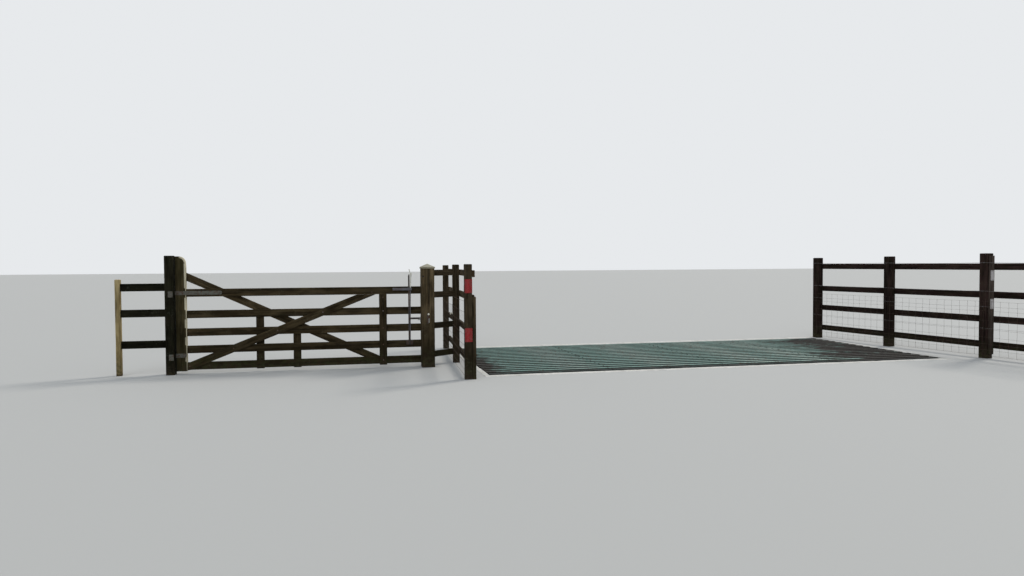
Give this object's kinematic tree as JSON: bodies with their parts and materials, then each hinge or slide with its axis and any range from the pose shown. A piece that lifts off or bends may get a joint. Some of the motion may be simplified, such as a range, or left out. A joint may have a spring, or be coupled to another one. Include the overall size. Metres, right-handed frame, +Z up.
{
  "type": "cattle grid with wing fences and side gate",
  "caption": "Cattle grid of steel bars on joists over a concrete pit, with timber wing fences and a side gate that has a lever latch for riders.",
  "frame": {"origin": "middle of the underside of the pit floor", "axes": "+X along the bars across the road, away from the side gate; +Y along the road, the way the side gate opens; +Z up"},
  "size_m": [14.2273, 6.2574, 2.375],
  "materials": {
    "concrete": "matte",
    "deck_steel": "satin",
    "joist_steel": "matte",
    "dark_timber": "matte",
    "gate_timber": "matte",
    "pale_timber": "matte",
    "red_reflector": "gloss",
    "white_reflector": "gloss",
    "ironwork": "matte"
  },
  "bodies": {
    "fixed_works": {"pit_floor": "concrete", "pit_wall_near": "concrete", "pit_wall_far": "concrete", "pit_wall_left": "concrete", "pit_wall_right": "concrete", "bars_1": "deck_steel", "bars_2": "deck_steel", "bars_3": "deck_steel", "bars_4": "deck_steel", "bearers_1": "joist_steel", "bearers_2": "joist_steel", "bearers_3": "joist_steel", "bearers_4": "joist_steel", "left_wing_posts": "dark_timber", "left_wing_rails": "dark_timber", "left_wing_batten": "dark_timber", "link_rails": "dark_timber", "right_wing_posts": "dark_timber", "right_wing_rails": "dark_timber", "hanging_post": "dark_timber", "side_rails": "dark_timber", "shutting_post": "dark_timber", "corner_post": "pale_timber", "shutting_post_cap": "pale_timber", "marker_board": "pale_timber", "red_reflectors": "red_reflector", "white_reflectors": "white_reflector", "top_hook": "ironwork", "bottom_hook": "ironwork", "latch_catch": "ironwork", "post_fitting": "ironwork"},
    "gate": {"harr": "gate_timber", "gate_rails": "gate_timber", "head_stile": "gate_timber", "gate_stiles": "gate_timber", "back_brace": "gate_timber", "front_brace": "gate_timber", "top_strap": "ironwork", "bottom_strap": "ironwork", "latch_pivot": "ironwork", "latch_guide": "ironwork"},
    "lever": {"latch_lever": "ironwork", "latch_tongue": "ironwork"}
  },
  "joints": [
    {"name": "gate_swing", "type": "hinge", "parent": "fixed_works", "child": "gate", "pos_m": [-8.4654, -0.4819, 1.3], "axis": [0, 0, 1], "range_deg": [0, 90]},
    {"name": "latch_pull", "type": "hinge", "parent": "gate", "child": "lever", "pos_m": [-4.931, -0.5865, 0.98], "axis": [0, -1, 0], "range_deg": [0, 8], "stiffness_Nm_per_rad": 25, "springref_deg": -14.32}
  ]
}
